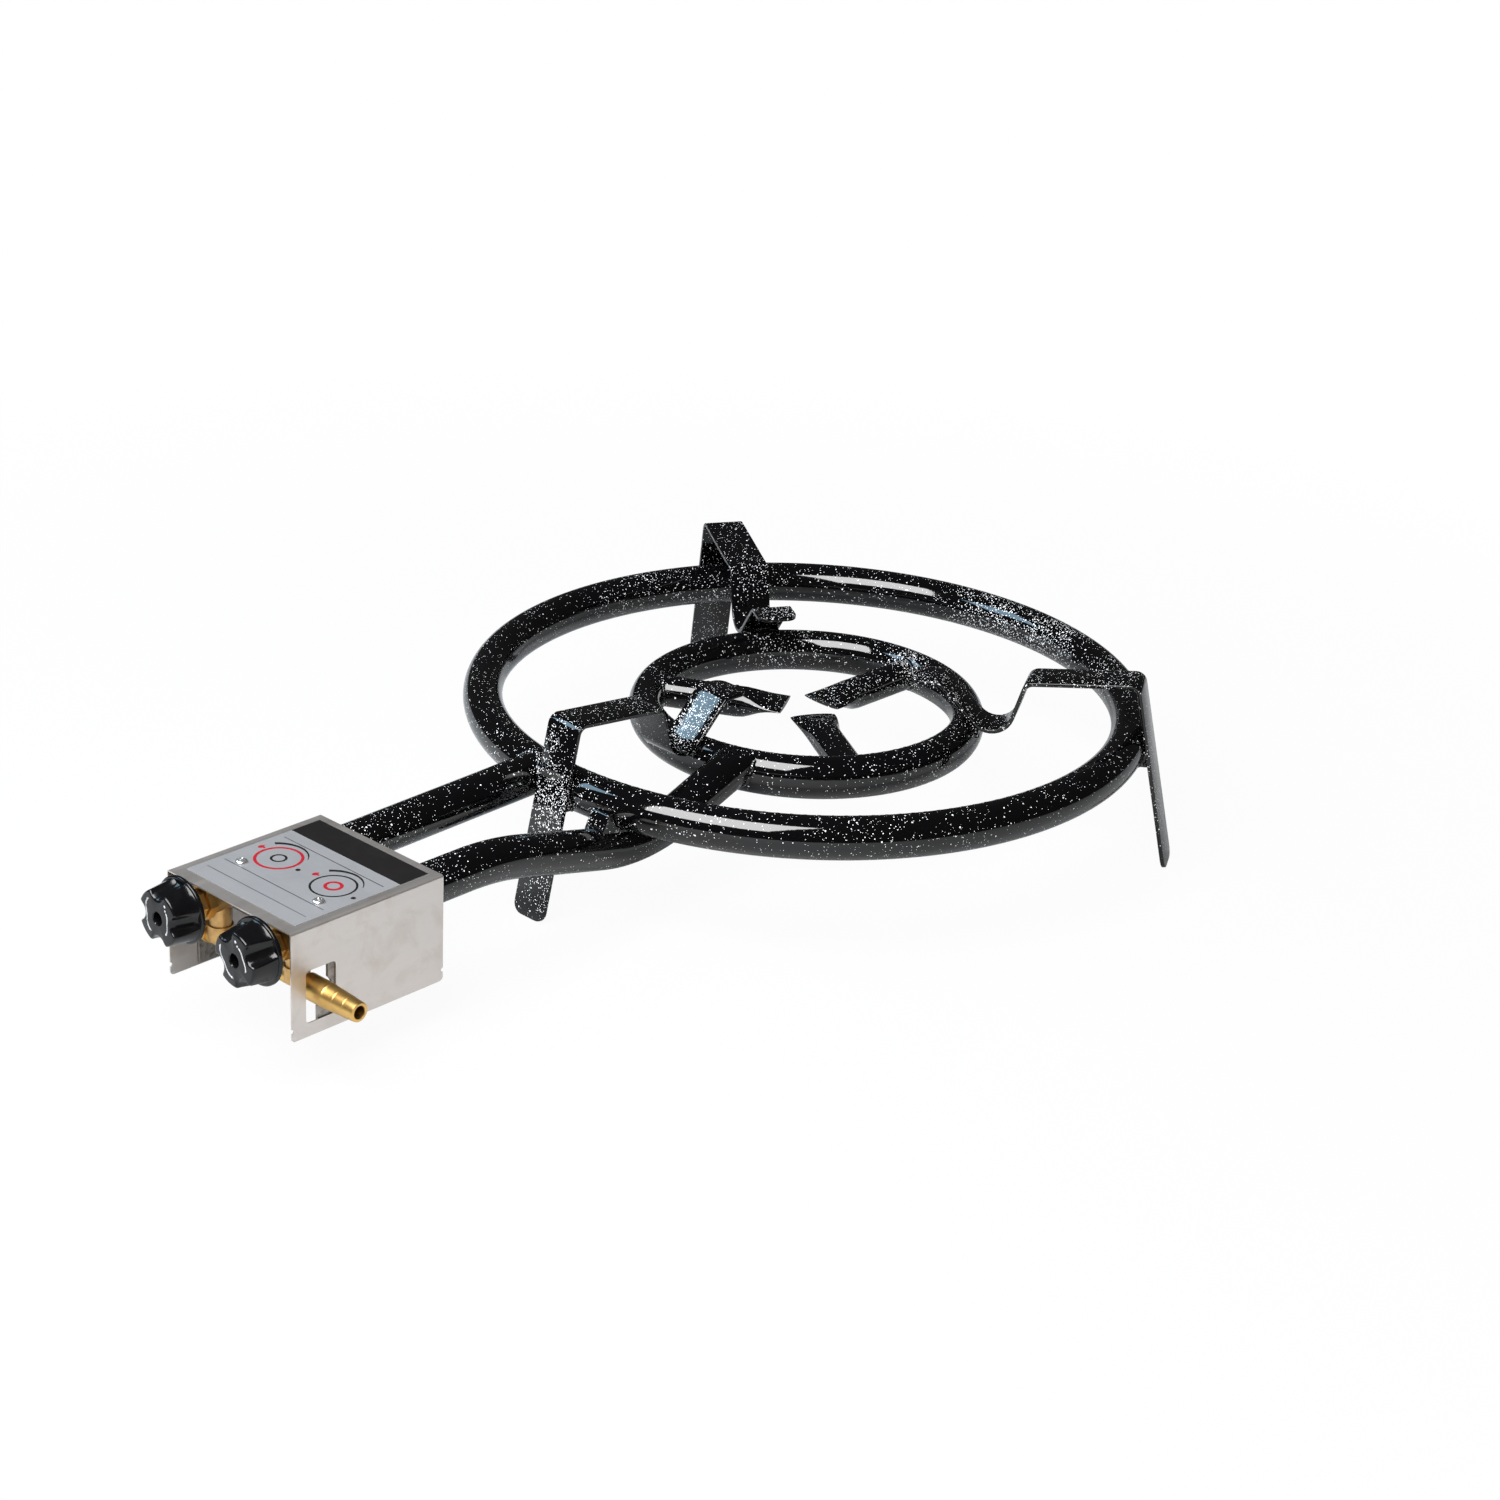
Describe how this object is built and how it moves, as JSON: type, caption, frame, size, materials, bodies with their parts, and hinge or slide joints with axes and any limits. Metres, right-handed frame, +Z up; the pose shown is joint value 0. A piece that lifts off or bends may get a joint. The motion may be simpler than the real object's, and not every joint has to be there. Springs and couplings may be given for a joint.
{
  "type": "propane burner",
  "caption": "Portable gas ring burner: concentric speckled black enamel tube rings on bent strip legs, steel-covered brass taps with fluted knobs and a barbed hose nozzle.",
  "frame": {"origin": "on the ground, under the middle of the object's length and of the outer ring's width", "axes": "+Z is up, +Y runs from the knobs to the rings, +X points out of the hose nozzle"},
  "size_m": [0.5, 0.816, 0.1387],
  "materials": {
    "speckled_enamel": "glossy black enamel with white specks",
    "cover_steel": "brushed stainless",
    "label_plate": "satin silver plate with a black band",
    "fastener_steel": "bright plated",
    "brass": "machined",
    "seal_fibre": "matt",
    "seal_rubber": "matt",
    "spring_steel": "satin",
    "knob_plastic": "glossy black"
  },
  "bodies": {
    "burner": {"outer_ring": "speckled_enamel", "inner_ring": "speckled_enamel", "burner_stub_1": "speckled_enamel", "burner_stub_2": "speckled_enamel", "burner_stub_3": "speckled_enamel", "leg_1": "speckled_enamel", "leg_2": "speckled_enamel", "leg_3": "speckled_enamel", "leg_welds": "speckled_enamel", "outer_supply_tube": "speckled_enamel", "inner_supply_tube": "speckled_enamel", "crossing_weld": "speckled_enamel", "bracket": "speckled_enamel", "cover": "cover_steel", "label_plate": "label_plate", "cover_screws": "fastener_steel", "cover_nuts": "fastener_steel", "ear_screws": "fastener_steel", "manifold": "brass", "manifold_cap": "brass", "seal_washers": "seal_fibre", "hose_nozzle": "brass", "left_tap_body": "brass", "left_tap_bonnet": "brass", "left_gland_nut": "brass", "left_jet": "brass", "right_tap_body": "brass", "right_tap_bonnet": "brass", "right_gland_nut": "brass", "right_jet": "brass"},
    "left_plug": {"left_tap_plug": "brass"},
    "left_knob": {"left_knob": "knob_plastic", "left_knob_bush": "spring_steel", "left_spindle": "brass", "left_spindle_seal": "seal_rubber", "left_return_spring": "spring_steel"},
    "right_plug": {"right_tap_plug": "brass"},
    "right_knob": {"right_knob": "knob_plastic", "right_knob_bush": "spring_steel", "right_spindle": "brass", "right_spindle_seal": "seal_rubber", "right_return_spring": "spring_steel"}
  },
  "joints": [
    {"name": "left_tap_turn", "type": "hinge", "parent": "burner", "child": "left_plug", "pos_m": [-0.03, -0.3585, 0.0883], "axis": [0, -1, 0], "range_deg": [0, 180]},
    {"name": "left_knob_push", "type": "slide", "parent": "left_plug", "child": "left_knob", "axis": [0, 1, 0], "range_m": [0, 0.003], "stiffness_N_per_m": 800},
    {"name": "right_tap_turn", "type": "hinge", "parent": "burner", "child": "right_plug", "pos_m": [0.045, -0.3585, 0.0883], "axis": [0, -1, 0], "range_deg": [0, 180]},
    {"name": "right_knob_push", "type": "slide", "parent": "right_plug", "child": "right_knob", "axis": [0, 1, 0], "range_m": [0, 0.003], "stiffness_N_per_m": 800}
  ]
}
